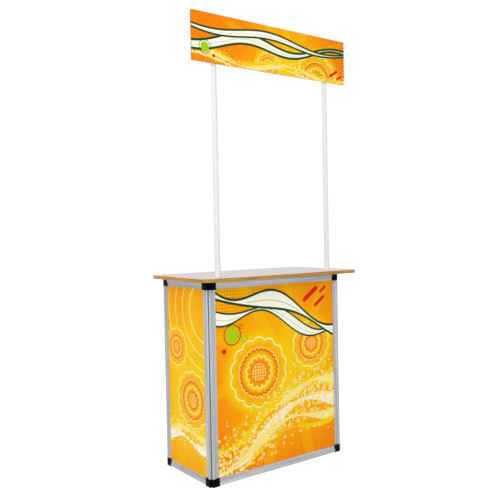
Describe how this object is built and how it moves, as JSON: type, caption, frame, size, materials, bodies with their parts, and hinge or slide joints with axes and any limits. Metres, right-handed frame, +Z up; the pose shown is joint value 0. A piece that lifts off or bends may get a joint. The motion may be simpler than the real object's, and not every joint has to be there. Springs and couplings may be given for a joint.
{
  "type": "exhibition counter",
  "caption": "Folding exhibition counter: framed print panels on front and sides, open back, lift-off worktop, poles in sockets and a flat header board above.",
  "frame": {"origin": "on the floor under the middle of the worktop", "axes": "+X to the right as seen from the front, +Y from the printed front to the open back, +Z up"},
  "size_m": [0.934, 0.507, 2.116],
  "materials": {
    "anodised_aluminium": "satin anodised extrusion",
    "black_nylon": "moulded, slightly satin",
    "front_print": "printed foam board, satin laminate",
    "side_print": "printed foam board, satin laminate",
    "header_print": "printed foam board, satin laminate",
    "zinc_plated_steel": "zinc plated",
    "hook_and_loop_tape": "woven tape",
    "white_laminate_board": "melamine-faced chipboard, fine pearl texture",
    "beech_edge_band": "beech decor edge, satin",
    "natural_nylon": "turned nylon",
    "white_abs": "moulded, satin",
    "white_powder_coat": "powder-coated tube"
  },
  "bodies": {
    "front_frame": {"front_left_stile": "anodised_aluminium", "front_right_stile": "anodised_aluminium", "front_bottom_rail": "anodised_aluminium", "front_top_rail": "anodised_aluminium", "front_print_panel": "front_print", "front_screws": "zinc_plated_steel", "front_bottom_left_corner": "black_nylon", "front_top_left_corner": "black_nylon", "front_bottom_right_corner": "black_nylon", "front_top_right_corner": "black_nylon", "left_hinge_pins": "zinc_plated_steel", "right_hinge_pins": "zinc_plated_steel"},
    "left_side_frame": {"left_side_front_stile": "anodised_aluminium", "left_side_rear_stile": "anodised_aluminium", "left_side_bottom_rail": "anodised_aluminium", "left_side_top_rail": "anodised_aluminium", "left_side_print_panel": "side_print", "left_side_screws": "zinc_plated_steel", "left_side_bottom_front_corner": "black_nylon", "left_side_top_front_corner": "black_nylon", "left_side_bottom_rear_corner": "black_nylon", "left_side_top_rear_corner": "black_nylon", "left_side_loop_pads": "hook_and_loop_tape"},
    "right_side_frame": {"right_side_front_stile": "anodised_aluminium", "right_side_rear_stile": "anodised_aluminium", "right_side_bottom_rail": "anodised_aluminium", "right_side_top_rail": "anodised_aluminium", "right_side_print_panel": "side_print", "right_side_screws": "zinc_plated_steel", "right_side_bottom_front_corner": "black_nylon", "right_side_top_front_corner": "black_nylon", "right_side_bottom_rear_corner": "black_nylon", "right_side_top_rear_corner": "black_nylon", "right_side_loop_pads": "hook_and_loop_tape"},
    "worktop": {"worktop_board": "white_laminate_board", "worktop_edge_band": "beech_edge_band", "worktop_hook_pads": "hook_and_loop_tape", "worktop_locating_pegs": "natural_nylon", "socket_screws": "zinc_plated_steel", "left_pole_socket": "white_abs", "right_pole_socket": "white_abs"},
    "left_pole": {"left_pole": "white_powder_coat"},
    "right_pole": {"right_pole": "white_powder_coat"},
    "header": {"header_board": "header_print", "left_header_sleeve": "white_abs", "right_header_sleeve": "white_abs"}
  },
  "joints": [
    {"name": "left_side_fold", "type": "hinge", "parent": "front_frame", "child": "left_side_frame", "pos_m": [-0.378, -0.1445, 0], "axis": [0, 0, -1], "range_deg": [0, 90]},
    {"name": "right_side_fold", "type": "hinge", "parent": "front_frame", "child": "right_side_frame", "pos_m": [0.378, -0.1445, 0], "axis": [0, 0, 1], "range_deg": [0, 90]},
    {"name": "worktop_lift", "type": "slide", "parent": "front_frame", "child": "worktop", "axis": [0, 0, 1], "range_m": [0, 0.06]},
    {"name": "left_pole_lift", "type": "slide", "parent": "worktop", "child": "left_pole", "axis": [0, 0, 1], "range_m": [0, 0.09]},
    {"name": "right_pole_lift", "type": "slide", "parent": "worktop", "child": "right_pole", "axis": [0, 0, 1], "range_m": [0, 0.09]},
    {"name": "header_lift", "type": "slide", "parent": "left_pole", "child": "header", "axis": [0, 0, 1], "range_m": [0, 0.16]}
  ],
  "couplings": [
    {"joint": "right_pole_lift", "follows": "left_pole_lift", "ratio": 1}
  ]
}
